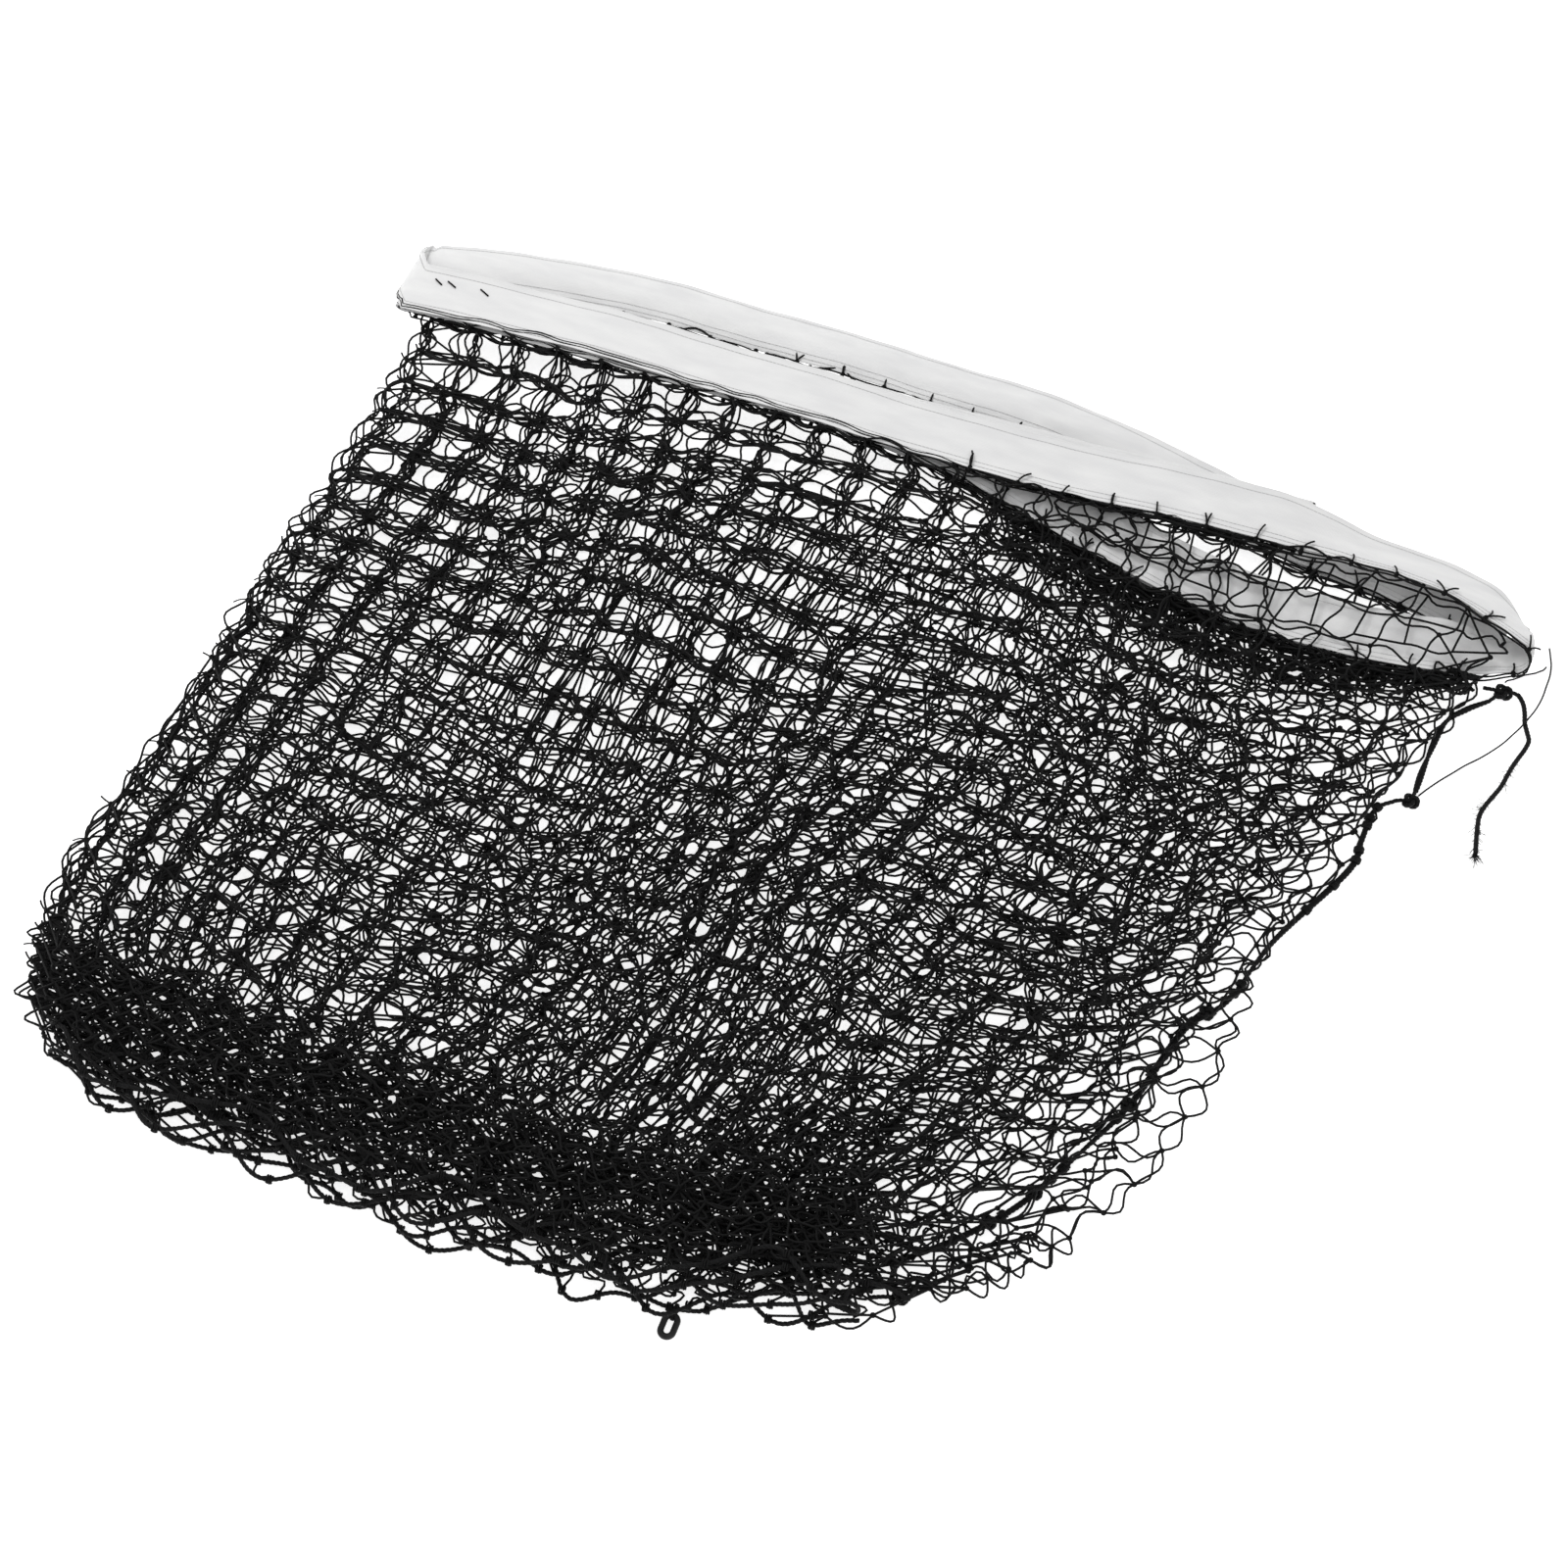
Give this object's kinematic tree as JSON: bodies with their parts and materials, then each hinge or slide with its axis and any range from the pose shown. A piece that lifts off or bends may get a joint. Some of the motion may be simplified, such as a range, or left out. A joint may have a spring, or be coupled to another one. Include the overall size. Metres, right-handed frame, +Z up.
{
  "type": "tennis net",
  "caption": "Black knotted tennis net with a white headband, folded into a flat stack of layers for storage.",
  "frame": {"origin": "on the surface that the folded net lies on, under its middle", "axes": "+X along the headband, +Y from the bottom rope towards the headband, +Z up"},
  "size_m": [1.2386, 1.1469, 0.043],
  "materials": {
    "net_twine": "matte",
    "rope": "matte",
    "headband_tape": "satin",
    "ring_plastic": "satin"
  },
  "bodies": {
    "net": {"net_layer_1": "net_twine", "net_layer_2": "net_twine", "net_layer_3": "net_twine", "net_layer_4": "net_twine", "net_layer_5": "net_twine", "net_layer_6": "net_twine", "net_layer_7": "net_twine", "net_layer_8": "net_twine", "headband": "headband_tape", "head_cord": "rope", "lacing_cord": "net_twine", "bottom_rope": "rope", "side_rope_a": "rope", "side_rope_b": "rope", "top_corner_knot": "rope", "side_knot": "rope", "bottom_corner_knot": "rope", "ring_lashing": "net_twine", "tail_rope": "rope", "loose_thread_long": "net_twine", "loose_thread_short": "net_twine"},
    "ring": {"bottom_ring": "ring_plastic"}
  },
  "joints": [
    {"name": "ring_hinge", "type": "hinge", "parent": "net", "child": "ring", "pos_m": [0.1132, -0.56285, 0.0051], "axis": [-1, 0, 0], "range_deg": [0, 95]}
  ]
}
